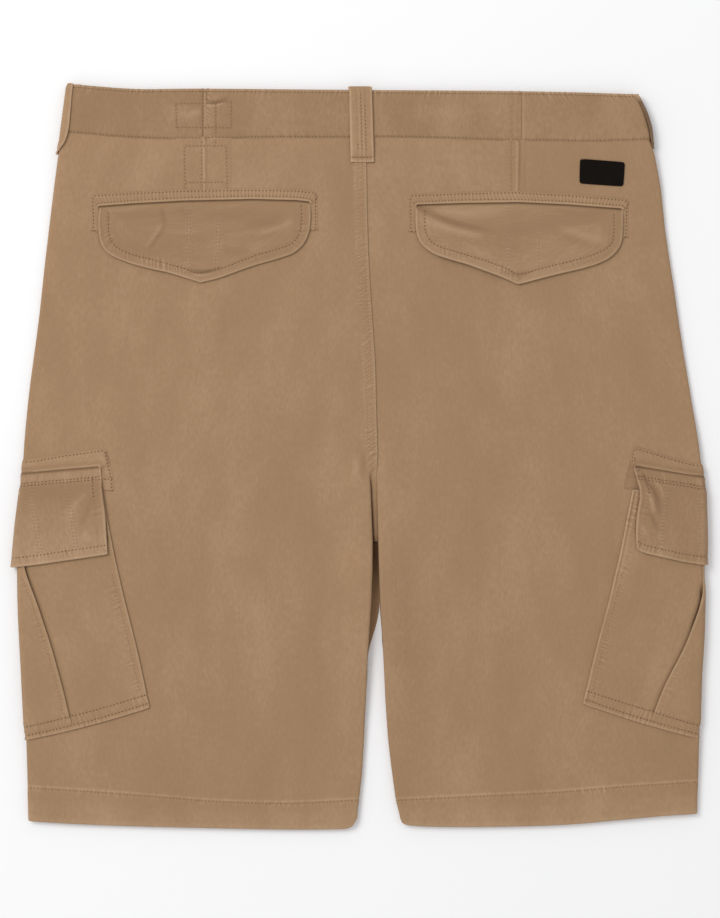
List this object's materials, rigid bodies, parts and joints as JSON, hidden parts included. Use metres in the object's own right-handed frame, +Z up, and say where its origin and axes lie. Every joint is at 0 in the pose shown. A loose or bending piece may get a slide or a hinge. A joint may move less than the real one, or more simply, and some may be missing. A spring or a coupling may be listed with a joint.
{
  "type": "cargo shorts",
  "caption": "Cargo shorts in washed twill lying flat on their front, back up, with flapped back pockets, pleated cargo pockets on the legs, belt loops and a bare patch.",
  "frame": {"origin": "middle of the bounding box on the surface that the shorts lie on", "axes": "+Y from the hems to the waist, +Z up from the surface, out of the back of the shorts; +X to the wearer's right"},
  "size_m": [0.5292, 0.5666, 0.0103],
  "materials": {
    "twill": "washed cotton twill, matt, slightly brushed",
    "twill_waistband": "washed cotton twill, two layers, matt",
    "twill_trim": "washed cotton twill, folded strips, worn pale at the edges",
    "twill_flap": "washed cotton twill, two layers, puckered along the stitching",
    "twill_pocket": "washed cotton twill, matt",
    "patch": "black, matt, bare",
    "button": "dark brown, satin"
  },
  "bodies": {
    "root": {"back_left": "twill", "back_right": "twill", "front_left": "twill", "front_right": "twill", "waistband_back": "twill_waistband", "waistband_left": "twill_waistband", "waistband_right": "twill_waistband", "belt_loop_back": "twill_trim", "belt_loop_left": "twill_trim", "belt_loop_right": "twill_trim", "belt_loop_front_left": "twill_trim", "belt_loop_front_right": "twill_trim", "pocket_facing_left": "twill_trim", "pocket_facing_right": "twill_trim", "cargo_facing_left": "twill_trim", "cargo_facing_right": "twill_trim", "pocket_flap_left": "twill_flap", "pocket_flap_right": "twill_flap", "cargo_flap_left": "twill_flap", "cargo_flap_right": "twill_flap", "cargo_pocket_left": "twill_pocket", "cargo_pocket_right": "twill_pocket", "patch": "patch", "button": "button"}
  },
  "joints": []
}
